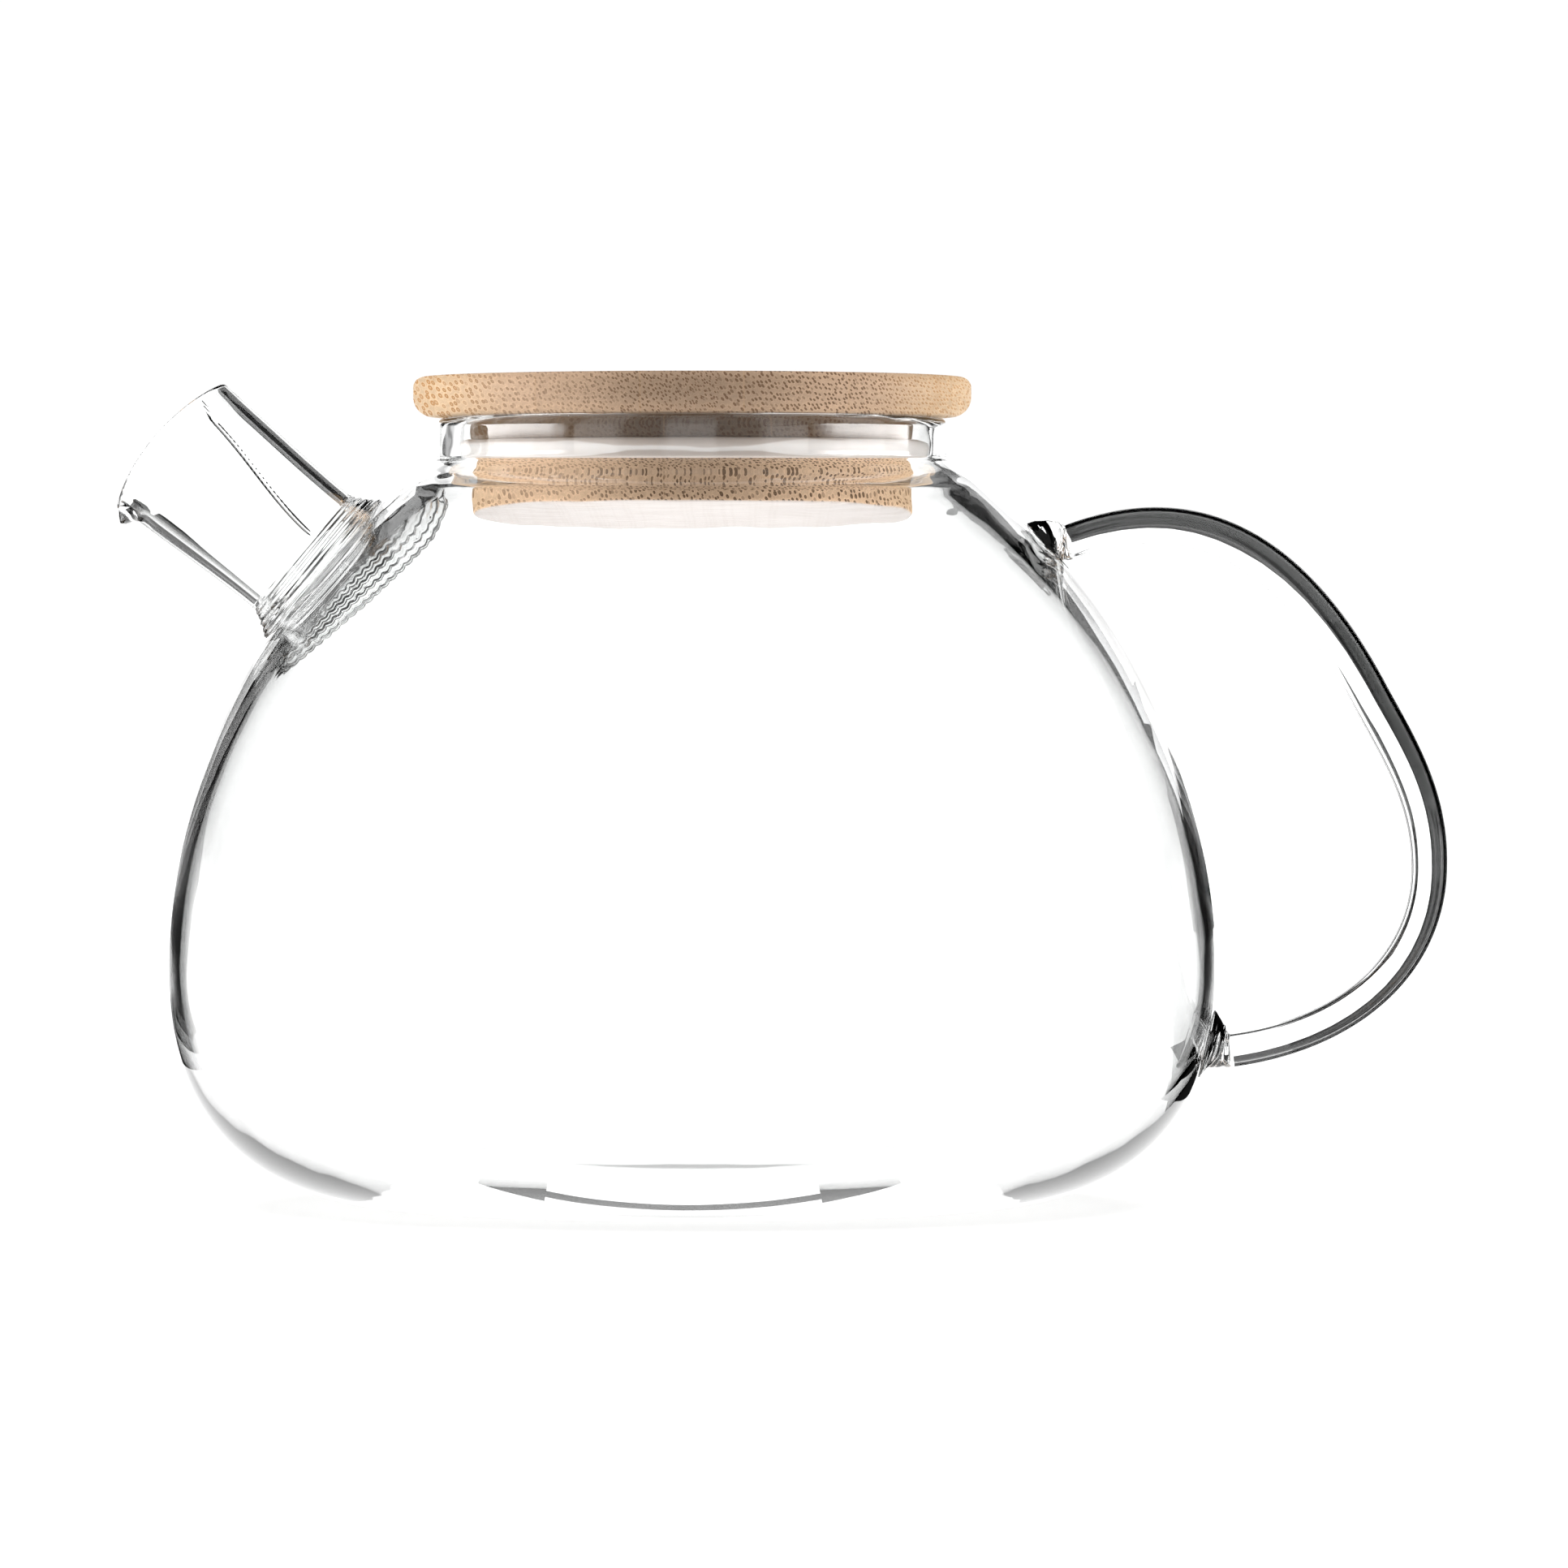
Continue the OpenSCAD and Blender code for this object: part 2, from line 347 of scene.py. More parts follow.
hole = [[spout_point(HOLE_R, f, s) for f in phis] for s in (-12, 9)]
vessel = boolean(vessel, outward(loops_to_mesh("hole", hole, close=False)), "DIFFERENCE")
vessel = boolean(vessel, spout, "UNION")

# ---------------------------------------------------------------- strainer
# parallel ribs, bowed into the vessel, with open slits between them
ribs_v, ribs_f = [], []
NR = 8


def rib_section(rt, ry, rc):
    """A flat bar with rounded edges, flats facing Y."""
    a_, b_ = rt - rc, ry - rc
    out_ = []
    for cx, cy, a0 in ((a_, b_, 0), (-a_, b_, 90), (-a_, -b_, 180), (a_, -b_, 270)):
        out_ += [(cx + rc * math.cos(math.radians(a0 + 15 * i)), cy + rc * math.sin(math.radians(a0 + 15 * i))) for i in range(7)]
        if a0 == 0:
            out_ += [(a_ * 0.8, ry), (-a_ * 0.8, ry)]
        if a0 == 180:
            out_ += [(-a_ * 0.8, -ry), (a_ * 0.8, -ry)]
    return out_


RIB = rib_section(0.62, 0.56, 0.47)
NS = len(RIB)
for i in range(NR):
    y0 = (i - (NR - 1) / 2) * 3.2
    q = 1 - (y0 / 14.8) ** 2
    half = 19.6 * math.sqrt(q)
    pc = 1.8
    loops = []
    m = 120
    for j in range(m + 1):
        u = j / m
        p = pc - half - 0.6 + (2 * half + 1.2) * u
        phi = math.atan2(y0, p)
        sw = wall_s(math.hypot(p, y0), phi, inn_z, inn_r)
        deep = (-7.7 - 0.147 * p) - 0.9 * math.sin(math.pi * u)
        e = min(u, 1 - u) * 2
        g = (1 - (1 - min(1.0, e * 2.6)) ** 2) ** 0.5 * (1.0, 0.87, 0.72, 0.56)[int(abs(i - 3.5))]
        s = sw + 1.1 + (deep + 0.9 - sw - 1.1) * g
        s -= 0.17 * math.sin(2 * math.pi * p / 1.75 + i * 0.25) * smooth(0, 0.2, e)
        loops.append((p, s))
    c = np.array(loops)
    d = np.gradient(c, axis=0)
    d /= np.linalg.norm(d, axis=1)[:, None]
    base = len(ribs_v)
    for j in range(m + 1):
        tp, ts = d[j]
        for k in range(NS):
            p = c[j][0] - ts * RIB[k][0]
            s = c[j][1] + tp * RIB[k][0]
            yy = y0 + RIB[k][1]
            ribs_v.append(SPOUT_AT + S_AX * s + S_UP * p + S_Y * yy)
    for j in range(m):
        for k in range(NS):
            kk = (k + 1) % NS
            ribs_f.append((base + j * NS + k, base + j * NS + kk, base + (j + 1) * NS + kk, base + (j + 1) * NS + k))
    ribs_f.append(tuple(base + k for k in range(NS))[::-1])
    ribs_f.append(tuple(base + m * NS + k for k in range(NS)))
ribs = outward(make("strainer_ribs", ribs_v, ribs_f))
vessel = boolean(vessel, ribs, "UNION")

# ---------------------------------------------------------------- handle
H = [[(61, 107), (80, 114.2), (96.3, 107.3), (109.5, 82)],
     [(109.5, 82), (114, 73.7), (119, 66), (119, 55)],
     [(119, 55), (119.2, 39.4), (106.8, 27.6), (87.2, 25)]]


def handle_at(t):
    """t runs 0..3 along the three curves; outside that it goes straight on."""
    k = min(2, max(0, int(t)))
    u = t - k
    if t < 0:
        p, d = bez(H[0], 0), bezd(H[0], 0)
        return p + d * t, d / np.linalg.norm(d)
    if t > 3:
        p, d = bez(H[2], 1), bezd(H[2], 1)
        return p + d * (t - 3), d / np.linalg.norm(d)
    d = bezd(H[k], u)
    return bez(H[k], u), d / np.linalg.norm(d)


pts, dirs, tt = [], [], []
for i in range(0, 241):
    t = 3 * i / 240
    p, d = handle_at(t)
    pts.append(p), dirs.append(d), tt.append(t)
pts, dirs = np.array(pts), np.array(dirs)
arc_len = np.concatenate([[0], np.cumsum(np.linalg.norm(np.diff(pts, axis=0), axis=1))])
HL = arc_len[-1]
swell = [0.22 * math.sin(2 * math.pi * (t / 3 - 0.12)) for t in tt]


def weld_ring(foot, inward, r, n, y_scale=1.0):
    u = np.array([-inward[1], inward[0]])
    return [np.array([foot[0] + u[0] * r * math.cos(2 * math.pi * k / n),
                      y_scale * r * math.sin(2 * math.pi * k / n),
                      foot[1] + u[1] * r * math.cos(2 * math.pi * k / n)]) for k in range(n)]


NH = 56


def section(p, d, r, n=NH):
    u = np.array([-d[1], d[0]])
    return [np.array([p[0] + u[0] * r * math.cos(2 * math.pi * k / n), r * math.sin(2 * math.pi * k / n),
                      p[1] + u[1] * r * math.cos(2 * math.pi * k / n)]) for k in range(n)]


def foot(p_wall, n_wall, p_tube, d_tube, r_wall, r_tube, sink, phase):
    """Rings from inside the vessel's wall, square to the wall, out to the tube's end, square to the tube."""
    p_wall, p_tube = np.array(p_wall, float), np.array(p_tube, float)
    n_wall = np.array(n_wall, float) / np.linalg.norm(n_wall)
    gap = float(np.linalg.norm(p_tube - p_wall))
    out = []
    n = 26
    for i in range(n):
        t = i / n
        if t < 0.2:
            p, d, h = p_wall - n_wall * sink * (1 - t / 0.2), n_wall, 0.0
        else:
            h = (t - 0.2) / 0.8
            q = [p_wall, p_wall + n_wall * gap * 0.4, p_tube - d_tube * gap * 0.4, p_tube]
            p, d = bez(q, h), bezd(q, h)
            d = d / np.linalg.norm(d)
        r = r_tube + (r_wall - r_tube) * (1 - h) ** 2.6
        ring = section(p, d, r)
        c = np.array([p[0], 0.0, p[1]])
        zone = smooth(0.0, 0.15, h) * (1 - smooth(0.75, 1.0, h))
        for k in range(NH):
            a = 2 * math.pi * k / NH
            f = 1 + zone * (0.030 * math.sin(h * 17 + 2 * math.sin(a + phase)) + 0.022 * math.sin(h * 29 + 3 * math.sin(2 * a + phase)))
            ring[k] = c + (ring[k] - c) * f
        out.append(ring)
    return out


def on_wall(z):
    """The vessel's outer face at a height, and the direction square to it."""
    r = np.interp(z, prof_z, prof_r)
    dr = np.interp(z + 1.5, prof_z, prof_r) - np.interp(z - 1.5, prof_z, prof_r)
    return (r, z), (3.0, -dr)


R0 = 2.94
loops = foot(*on_wall(106.3), pts[0], dirs[0], 5.0, R0 + swell[0], 1.3, 0.4)
for i in range(0, 241):
    loops.append(section(pts[i], dirs[i], R0 + swell[i]))
end = foot(*on_wall(25.9), pts[-1], -dirs[-1], 5.6, R0 + swell[-1], 0.9, 2.1)[::-1]
# the far foot's rings run the other way round, so turn them to match
end = [[ring[(NH // 2 - k) % NH] for k in range(NH)] for ring in end]
loops += end
handle = outward(loops_to_mesh("handle", loops, close=False))

bore = []
EXT = 1.6
ext = [1.6, 1.55, 1.4, 1.15, 0.8, 0.4]
path = ([(pts[0] - dirs[0] * e, dirs[0], 0, EXT - e) for e in ext]
        + [(pts[i], dirs[i], i, EXT + min(arc_len[i], HL - arc_len[i])) for i in range(241)]
        + [(pts[-1] + dirs[-1] * e, dirs[-1], 240, EXT - e) for e in ext[::-1]])
for p_, d_, i, a in path:
    r = (2.36 + 0.8 * swell[i]) * math.sqrt(max(0.0, 1 - (1 - min(1, a / 1.1)) ** 2))
    if r > 0.05:
        bore.append(section(p_, d_, r, 48))
bore = outward(loops_to_mesh("bore", bore, close=False))
handle = boolean(handle, bore, "DIFFERENCE")
vessel = boolean(vessel, handle, "UNION")
pot = vessel
print("pot faces", len(pot.data.polygons), "volume mm3", volume(pot) * 1e9)

# ---------------------------------------------------------------- lid
cover = outward(lathe("lid_cover_board", [np.array([0.0, COVER_Z])]
                      + [np.array([r, COVER_Z]) for r in np.linspace(4, LID_R - 3.4, 14)]
                      + arc(LID_R - 3.2, COVER_Z + 3.2, 3.2, -90, 0, 16)
                      + line((LID_R, COVER_Z + 3.2), (LID_R, COVER_Z + LID_T - 1.7), 4, 1)
                      + arc(LID_R - 1.7, COVER_Z + LID_T - 1.7, 1.7, 0, 90, 12, 1)
                      + [np.array([r, COVER_Z + LID_T]) for r in np.linspace(LID_R - 2.0, 4, 16)]
                      + [np.array([0.0, COVER_Z + LID_T])]))
PB = COVER_Z - PLUG_L
FITG = 0.04
plug = outward(lathe("lid_plug_board", [np.array([0.0, PB])]
                     + [np.array([r, PB]) for r in np.linspace(4, PLUG_R - 0.9, 14)]
                     + arc(PLUG_R - 0.8, PB + 0.8, 0.8, -90, 0, 10)
                     + line((PLUG_R, PB + 0.8), (PLUG_R, SEAL_Z - FITG - 0.25), 8, 1)
                     + arc(PLUG_R - 0.25, SEAL_Z - FITG - 0.25, 0.25, 0, 90, 5, 1)
                     + line((PLUG_R - 0.25, SEAL_Z - FITG), (GROOVE_R, SEAL_Z - FITG), 4, 1)
                     + line((GROOVE_R, SEAL_Z - FITG), (GROOVE_R, SEAL_Z + SEAL_H + FITG), 6, 1)
                     + line((GROOVE_R, SEAL_Z + SEAL_H + FITG), (PLUG_R - 0.25, SEAL_Z + SEAL_H + FITG), 4, 1)
                     + arc(PLUG_R - 0.25, SEAL_Z + SEAL_H + FITG + 0.25, 0.25, -90, 0, 5, 1)
                     + line((PLUG_R, SEAL_Z + SEAL_H + FITG + 0.25), (PLUG_R, COVER_Z - 0.02), 6, 1)
                     + [np.array([r, COVER_Z - 0.02]) for r in np.linspace(PLUG_R - 0.4, 4, 8)]
                     + [np.array([0.0, COVER_Z - 0.02])]))


def ring_lathe(name, section_pts, n=ROUND):
    """A closed ring: the section is a closed loop that doesn't reach the axis."""
    rings = [[np.array([r * math.cos(2 * math.pi * k / n), r * math.sin(2 * math.pi * k / n), z])
              for k in range(n)] for r, z in section_pts]
    return outward(loops_to_mesh(name, rings, close=True))


gi = GROOVE_R + 0.05
seal = ring_lathe("lid_seal_ring",
                  line((gi + 0.3, SEAL_Z), (SEAL_R - 1.2, SEAL_Z), 4)
                  + arc(SEAL_R - 1.2, SEAL_Z + 1.2, 1.2, -90, 0, 12, 1)
                  + [np.array([SEAL_R - 0.10 * math.sin(math.pi * i / 6), SEAL_Z + 1.2 + (SEAL_H - 2.4) * i / 6]) for i in range(1, 6)]
                  + arc(SEAL_R - 1.2, SEAL_Z + SEAL_H - 1.2, 1.2, 0, 90, 12)
                  + line((SEAL_R - 1.2, SEAL_Z + SEAL_H), (gi + 0.3, SEAL_Z + SEAL_H), 4, 1)
                  + arc(gi + 0.3, SEAL_Z + SEAL_H - 0.3, 0.3, 90, 180, 4, 1)
                  + line((gi, SEAL_Z + SEAL_H - 0.3), (gi, SEAL_Z + 0.3), 5, 1)
                  + arc(gi + 0.3, SEAL_Z + 0.3, 0.3, 180, 270, 4, 1)[:-1])

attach(pot, "pot")
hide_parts("glass_body", "spout", "spout_weld", "strainer", "handle", "upper_handle_weld", "lower_handle_weld")
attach(cover, "lid")
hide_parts("lid_cover")
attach(plug, "lid")
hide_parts("lid_plug")
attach(seal, "seal")
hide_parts("lid_seal")


# ---------------------------------------------------------------- materials
class Nodes:
    """A little shorthand for building node trees."""

    def __init__(self, tree):
        self.t = tree
        self.n = tree.nodes
        self.x = 0

    def add(self, kind, **kw):
        node = self.n.new(kind)
        node.location = (self.x, 0)
        self.x += 180
        for k, v in kw.items():
            setattr(node, k, v)
        return node

    def put(self, socket, value):
        if isinstance(value, bpy.types.NodeSocket):
            self.t.links.new(value, socket)
        elif value is not None:
            socket.default_value = value

    def math(self, op, a, b=None, c=None, clamp=False):
        m = self.add("ShaderNodeMath", operation=op, use_clamp=clamp)
        for s, v in zip(m.inputs, (a, b, c)):
            self.put(s, v)
        return m.outputs[0]

    def vec(self, x, y, z):
        m = self.add("ShaderNodeCombineXYZ")
        for s, v in zip(m.inputs, (x, y, z)):
            self.put(s, v)
        return m.outputs[0]

    def range(self, v, a, b, c=0.0, d=1.0, smoothly=True):
        m = self.add("ShaderNodeMapRange", interpolation_type="SMOOTHSTEP" if smoothly else "LINEAR")
        for s, x in zip(m.inputs[:5], (v, a, b, c, d)):
            self.put(s, x)
        return m.outputs[0]

    def noise(self, vector, scale, detail=2.0, rough=0.5, dims="3D"):
        m = self.add("ShaderNodeTexNoise", noise_dimensions=dims)
        self.put(m.inputs["Vector"], vector)
        m.inputs["Scale"].default_value = scale
        m.inputs["Detail"].default_value = detail
        m.inputs["Roughness"].default_value = rough
        return m.outputs["Fac"]

    def voronoi(self, vector, scale, rnd=1.0, feature="F1", dims="2D", out="Distance"):
        m = self.add("ShaderNodeTexVoronoi", voronoi_dimensions=dims, feature=feature)
        self.put(m.inputs["Vector"], vector)
        m.inputs["Scale"].default_value = scale
        m.inputs["Randomness"].default_value = rnd
        return m.outputs[out]

    def mix(self, f, a, b, blend="MIX"):
        m = self.add("ShaderNodeMix", data_type="RGBA", blend_type=blend)
        self.put(m.inputs[0], f)
        self.put(m.inputs[6], a)
        self.put(m.inputs[7], b)
        return m.outputs[2]


def material(name):
    m = bpy.data.materials.new(name)
    m.use_nodes = True
    m.node_tree.nodes.clear()
    return m, Nodes(m.node_tree)


def glass_material():
    m, k = material("borosilicate_glass")
    out = k.add("ShaderNodeOutputMaterial")
    p = k.add("ShaderNodeBsdfPrincipled")
    p.inputs["Base Color"].default_value = (0.995, 1.0, 0.998, 1)
    p.inputs["Roughness"].default_value = 0.0
    p.inputs["IOR"].default_value = 1.47
    p.inputs["Transmission Weight"].default_value = 1.0
    tc = k.add("ShaderNodeTexCoord").outputs["Object"]
    wave = k.noise(tc, 90.0, 1.0, 0.4)
    b = k.add("ShaderNodeBump")
    b.inputs["Strength"].default_value = 0.25
    b.inputs["Distance"].default_value = 0.00006
    k.put(b.inputs["Height"], wave)
    k.put(p.inputs["Normal"], b.outputs[0])
    clear = k.add("ShaderNodeBsdfTransparent")
    clear.inputs["Color"].default_value = (0.985, 0.987, 0.985, 1)
    path = k.add("ShaderNodeLightPath")
    mix = k.add("ShaderNodeMixShader")
    k.put(mix.inputs[0], path.outputs["Is Shadow Ray"])
    k.put(mix.inputs[1], p.outputs[0])
    k.put(mix.inputs[2], clear.outputs[0])
    k.put(out.inputs["Surface"], mix.outputs[0])
    return m


def bamboo_material(name, seed, tone_and_painted_light, painted_shade_mid_side):
    """Laminated bamboo as a solid: fibres run along Y, so X and Z show the cut ends of the fibre bundles."""
    m, k = material(name)
    out = k.add("ShaderNodeOutputMaterial")
    p = k.add("ShaderNodeBsdfPrincipled")
    tc = k.add("ShaderNodeTexCoord").outputs["Object"]
    sep = k.add("ShaderNodeSeparateXYZ")
    k.put(sep.inputs[0], tc)
    x = k.math("MULTIPLY", sep.outputs[0], 1000.0)
    y = k.math("MULTIPLY", sep.outputs[1], 1000.0)
    z = k.math("MULTIPLY", k.math("SUBTRACT", sep.outputs[2], 0.1303), 1000.0)
    # slow wander of the fibres along their length
    wob = k.math("MULTIPLY", k.math("SUBTRACT", k.noise(k.vec(k.math("MULTIPLY", x, 0.05), k.math("MULTIPLY", y, 0.02), seed), 1.0, 1.0), 0.5), 1.2)
    xw = k.math("ADD", x, wob)
    right = k.math("GREATER_THAN", xw, 4.5)
    # bundles get closer towards the outer skin of each strip
    xa = k.math("ADD", xw, 45.0)
    fa = k.math("ADD", k.math("MULTIPLY", xa, 0.92), k.math("MULTIPLY", k.math("MULTIPLY", xa, xa), 0.0105))
    ka = k.math("ADD", 0.92, k.math("MULTIPLY", xa, 0.021))
    xb = k.math("SUBTRACT", xw, 4.5)
    fb = k.math("ADD", k.math("MULTIPLY", xb, 1.25), k.math("MULTIPLY", k.math("MULTIPLY", xb, xb), 0.0085))
    kb = k.math("ADD", 1.25, k.math("MULTIPLY", xb, 0.017))
    fx = k.math("ADD", k.math("MULTIPLY", fa, k.math("SUBTRACT", 1.0, right)), k.math("MULTIPLY", k.math("ADD", fb, 200.0), right))
    kz = k.math("ADD", k.math("MULTIPLY", ka, k.math("SUBTRACT", 1.0, right)), k.math("MULTIPLY", kb, right))
    fz = k.math("ADD", k.math("MULTIPLY", z, kz), seed * 13.0)
    v2 = k.vec(k.math("ADD", fx, k.math("MULTIPLY", fz, 0.5)), k.math("MULTIPLY", fz, 0.82), 0.0)
    left = k.math("SUBTRACT", 1.0, right)
    sparse = k.math("MULTIPLY", k.range(xw, -42.0, -26.0, 1.0, 0.0), left)
    # 1 in the crowded outer part of the left strip
    crowd = k.math("MULTIPLY", k.range(xw, -30.0, -8.0, 0.0, 1.0), left)
    rnd = k.math("ADD", 0.62, k.math("MULTIPLY", crowd, 0.3))
    vor = k.add("ShaderNodeTexVoronoi", voronoi_dimensions="2D", feature="F1")
    k.put(vor.inputs["Vector"], v2)
    k.put(vor.inputs["Randomness"], rnd)
    vor.inputs["Scale"].default_value = 1.0
    d = vor.outputs["Distance"]
    csep = k.add("ShaderNodeSeparateColor")
    k.put(csep.inputs[0], vor.outputs["Color"])
    size = k.math("ADD", k.math("ADD", 0.27, k.math("MULTIPLY", sparse, 0.01)), k.math("MULTIPLY", csep.outputs[1], 0.07))
    q = k.math("DIVIDE", d, size)
    dot = k.range(q, 0.78, 1.12, 1.0, 0.0)
    core = k.range(q, 0.15, 0.62, 1.0, 0.0)
    ring = k.math("SUBTRACT", dot, k.math("MULTIPLY", core, k.math("ADD", 0.12, k.math("MULTIPLY", sparse, 0.75))), clamp=True)
    ring = k.math("MULTIPLY", ring, k.range(csep.outputs[0], 0.0, 0.45, 0.45, 1.0))
    halo = k.math("MULTIPLY", k.range(q, 1.0, 1.25, 0.0, 1.0), k.range(q, 1.25, 1.7, 1.0, 0.0))
    # tone: strips, long streaks and fine fibre grain
    strip = k.math("FLOOR", k.math("DIVIDE", k.math("ADD", xw, 45.0 - 4.0 * seed), 16.5))
    wn = k.add("ShaderNodeTexWhiteNoise", noise_dimensions="1D")
    k.put(wn.inputs["W"], k.math("ADD", strip, seed * 7.3))
    tone_s = k.range(wn.outputs["Value"], 0.0, 1.0, 0.90, 1.06, False)
    streak = k.noise(k.vec(k.math("MULTIPLY", x, 1.6), k.math("MULTIPLY", y, 0.035), k.math("MULTIPLY", z, 1.6)), 1.0, 3.0, 0.6)
    fine = k.noise(k.vec(k.math("MULTIPLY", x, 7.0), k.math("MULTIPLY", y, 0.25), k.math("MULTIPLY", z, 7.0)), 1.0, 2.0, 0.6)
    val = k.math("MULTIPLY", tone_s, k.range(streak, 0.25, 0.75, 0.90, 1.08))
    val = k.math("MULTIPLY", val, k.range(fine, 0.2, 0.8, 0.86, 1.10))
    val = k.math("MULTIPLY", val, k.math("ADD", 1.0, k.math("MULTIPLY", halo, 0.16)))
    pale = (0.378 * tone_and_painted_light, 0.258 * tone_and_painted_light, 0.170 * tone_and_painted_light, 1)
    warm_side_lit = (0.500 * tone_and_painted_light, 0.362 * tone_and_painted_light, 0.222 * tone_and_painted_light, 1)
    # painted light: towards the ends in X the bamboo is painted lighter and warmer, where the side lamps fall
    ends = k.range(k.math("ABSOLUTE", x), 26.0, 44.0, 0.0, 1.0)
    body = k.mix(k.math("MULTIPLY", ends, 0.70), pale, warm_side_lit)
    # painted shade: the strip of the plug above the seal, between the cover and the seal, is painted darker where the
    # cover shades it
    val = k.math("MULTIPLY", val, k.math("SUBTRACT", 1.0, k.math("MULTIPLY", k.math("MULTIPLY", k.range(z, -7.2, -6.9, 0.0, 1.0), k.range(z, -3.5, -3.2, 1.0, 0.0)), 0.72)))
    # painted shade: each part is painted darker in the middle and lighter towards the sides, as the side lamps light
    # it
    far_x = k.math("ABSOLUTE", k.math("SUBTRACT", x, 1.0))
    val = k.math("MULTIPLY", val, k.range(far_x, 3.0, 24.0, *painted_shade_mid_side))
    col = k.mix(1.0, body, k.vec(val, val, val), "MULTIPLY")
    # painted light: the dots too are painted lighter and warmer towards the ends
    darkc = k.mix(ends, (0.110, 0.060, 0.032, 1), (0.34, 0.165, 0.050, 1))
    # strong in the crowded middle, faint beside the sparse edge
    strong = k.math("ADD", k.math("ADD", 0.48, k.math("MULTIPLY", sparse, 0.50)), k.math("MULTIPLY", k.range(xw, -20.0, -6.0, 0.0, 1.0), 0.50))
    strong = k.math("SUBTRACT", strong, k.math("MULTIPLY", k.range(xw, 22.0, 40.0, 0.0, 1.0), 0.32))
    amount = k.math("MULTIPLY", ring, strong)
    col = k.mix(amount, col, darkc)
    # knuckles of the cane: soft darker bars across a strip, here and there
    kn = k.math("ABSOLUTE", k.math("SUBTRACT", y, k.range(wn.outputs["Value"], 0.0, 1.0, -30.0, 34.0, False)))
    knot = k.math("MULTIPLY", k.range(kn, 0.3, 1.6, 1.0, 0.0), 0.28)
    col = k.mix(knot, col, (0.33, 0.20, 0.10, 1))
    # glue lines
    fr = k.math("FRACT", k.math("DIVIDE", k.math("ADD", xw, 45.0 - 4.0 * seed), 16.5))
    gl = k.math("MULTIPLY", k.range(k.math("MINIMUM", fr, k.math("SUBTRACT", 1.0, fr)), 0.004, 0.012, 1.0, 0.0), 0.25)
    col = k.mix(gl, col, (0.34, 0.21, 0.11, 1))
    # painted light: the plug's underside is painted almost white, in place of light bounced up from the white table,
    # with faint grain
    underside_painted_light = k.range(sep.outputs[2], 0.1121, 0.1124, 1.0, 0.0)
    grain = k.noise(k.vec(k.math("MULTIPLY", x, 0.10), k.math("MULTIPLY", y, 0.55), 3.0), 1.0, 4.0, 0.65)
    col = k.mix(underside_painted_light, col, k.mix(k.range(grain, 0.3, 0.7), (0.58, 0.525, 0.50, 1), (0.70, 0.655, 0.635, 1)))
    k.put(p.inputs["Base Color"], col)
    rough = k.math("ADD", k.range(fine, 0.2, 0.8, 0.50, 0.62), k.math("MULTIPLY", ring, 0.15))
    k.put(p.inputs["Roughness"], rough)
    p.inputs["Specular IOR Level"].default_value = 0.35
    h = k.math("MULTIPLY", k.math("SUBTRACT", k.math("MULTIPLY", fine, 0.5), ring), k.math("SUBTRACT", 1.0, k.math("MULTIPLY", underside_painted_light, 0.9)))
    b = k.add("ShaderNodeBump")
    b.inputs["Strength"].default_value = 0.6
    b.inputs["Distance"].default_value = 0.00006
    k.put(b.inputs["Height"], h)
    k.put(p.inputs["Normal"], b.outputs[0])
    k.put(out.inputs["Surface"], p.outputs[0])
    return m


def silicone_material():
    m, k = material("silicone_seal")
    out = k.add("ShaderNodeOutputMaterial")
    p = k.add("ShaderNodeBsdfPrincipled")
    tc = k.add("ShaderNodeTexCoord").outputs["Object"]
    n1 = k.noise(tc, 60.0, 3.0, 0.5)
    n2 = k.noise(tc, 2500.0, 1.0, 0.5)
    sep = k.add("ShaderNodeSeparateXYZ")
    k.put(sep.inputs[0], tc)
    xm = k.math("MULTIPLY", sep.outputs[0], 1000.0)
    zm = k.math("SUBTRACT", k.math("MULTIPLY", sep.outputs[2], 1000.0), SEAL_Z + SEAL_H * 0.5)
    # painted reflection: a wavy bright band across the seal, wider towards the sides, is painted into its colour in
    # place of softbox glare off the neck glass
    wave = k.math("MULTIPLY", k.math("SUBTRACT", n1, 0.5), 2.2)
    wide = k.range(k.math("ABSOLUTE", xm), 8.0, 19.0, 0.28, 1.35)
    off = k.math("ABSOLUTE", k.math("ADD", k.math("SUBTRACT", zm, 0.25), wave))
    painted_glare = k.math("SUBTRACT", 1.0, k.range(k.math("SUBTRACT", off, wide), -0.12, 0.28, 0.0, 1.0))
    c = k.mix(painted_glare, (0.57, 0.50, 0.455, 1), (0.83, 0.79, 0.765, 1))
    k.put(p.inputs["Base Color"], c)
    k.put(p.inputs["Roughness"], k.range(n2, 0.2, 0.8, 0.30, 0.46))
    p.inputs["Subsurface Weight"].default_value = 0.35
    p.inputs["Subsurface Radius"].default_value = (1.0, 0.85, 0.75)
    p.inputs["Subsurface Scale"].default_value = 0.0012
    b = k.add("ShaderNodeBump")
    b.inputs["Strength"].default_value = 0.2
    b.inputs["Distance"].default_value = 0.00003
    k.put(b.inputs["Height"], n2)
    k.put(p.inputs["Normal"], b.outputs[0])
    k.put(out.inputs["Surface"], p.outputs[0])
    return m


pot.data.materials.clear()
pot.data.materials.append(glass_material())
cover.data.materials.append(bamboo_material("bamboo_cover", 1.0, 0.95, (0.68, 1.04)))
# painted light: the plug's copy of the bamboo is painted brighter than the cover's, standing in for the light that
# the cover and the glass keep from it
plug.data.materials.append(bamboo_material("bamboo_plug", 2.0, 1.40, (1.0, 1.36)))
seal.data.materials.append(silicone_material())

